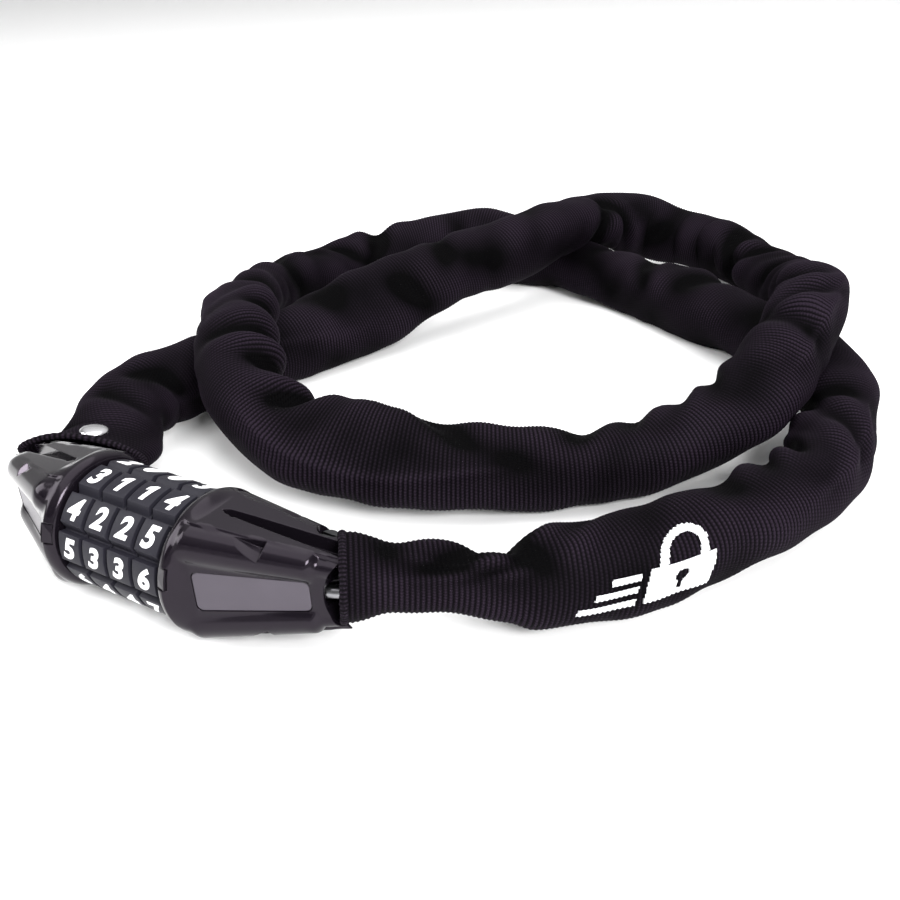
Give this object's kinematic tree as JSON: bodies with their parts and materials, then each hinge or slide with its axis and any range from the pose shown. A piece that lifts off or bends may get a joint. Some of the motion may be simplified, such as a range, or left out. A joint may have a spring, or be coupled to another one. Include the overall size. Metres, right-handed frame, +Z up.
{
  "type": "chain lock",
  "caption": "Four-dial combination chain lock: sleeved square-link chain in a loose double coil, held at both ends by a glossy boxy lock body with a pull-out plug.",
  "frame": {"origin": "under the middle of the lock body, where its round collars touch the floor", "axes": "+X runs along the dial axis towards the plug, +Y runs from the lock body towards the coiled chain, +Z is up"},
  "size_m": [0.2344, 0.2958, 0.0437],
  "materials": {
    "body": "high gloss black",
    "dial": "satin near-black with white numerals",
    "brass": "machined",
    "steel": "bright",
    "chain": "plated square wire",
    "sleeve": "ribbed black woven tube",
    "plate": "satin dark grey"
  },
  "bodies": {
    "lock_body": {"left_cap": "body", "core_tube": "steel", "left_cross_pin": "steel", "left_link_pin": "steel", "left_end_link": "steel", "click_spring": "steel", "eject_spring": "steel", "retaining_ring": "steel", "thrust_washer_left": "steel", "thrust_washer_right": "steel", "left_cap_screw": "steel", "left_front_plate": "plate", "left_back_plate": "plate", "left_index_mark": "body", "left_cuff": "sleeve", "sleeve_stub": "sleeve", "chain_stub": "chain", "sleeve_rivet": "steel", "rivet_washer": "steel"},
    "plug": {"right_cap": "body", "bolt": "steel", "right_cross_pin": "steel", "right_link_pin": "steel", "right_end_link": "steel", "right_cap_screw": "steel", "right_front_plate": "plate", "right_back_plate": "plate", "right_index_mark": "body", "right_cuff": "sleeve", "chain_sleeve": "sleeve", "chain_run_1": "chain", "chain_run_2": "chain", "chain_run_3": "chain", "chain_run_4": "chain", "chain_run_5": "chain", "chain_run_6": "chain", "chain_run_7": "chain", "chain_run_8": "chain"},
    "dial_1": {"dial_ring_1": "dial", "code_ring_1": "brass"},
    "dial_2": {"dial_ring_2": "dial", "code_ring_2": "brass"},
    "dial_3": {"dial_ring_3": "dial", "code_ring_3": "brass"},
    "dial_4": {"dial_ring_4": "dial", "code_ring_4": "brass"}
  },
  "joints": [
    {"name": "dial_1_turn", "type": "hinge", "parent": "lock_body", "child": "dial_1", "pos_m": [-0.0118, 0, 0.0165], "axis": [1, 0, 0], "continuous": true},
    {"name": "dial_2_turn", "type": "hinge", "parent": "lock_body", "child": "dial_2", "pos_m": [-0.00393, 0, 0.0165], "axis": [1, 0, 0], "continuous": true},
    {"name": "dial_3_turn", "type": "hinge", "parent": "lock_body", "child": "dial_3", "pos_m": [0.00393, 0, 0.0165], "axis": [1, 0, 0], "continuous": true},
    {"name": "dial_4_turn", "type": "hinge", "parent": "lock_body", "child": "dial_4", "pos_m": [0.0118, 0, 0.0165], "axis": [1, 0, 0], "continuous": true},
    {"name": "plug_slide", "type": "slide", "parent": "lock_body", "child": "plug", "axis": [1, 0, 0], "range_m": [0, 0.04]}
  ]
}
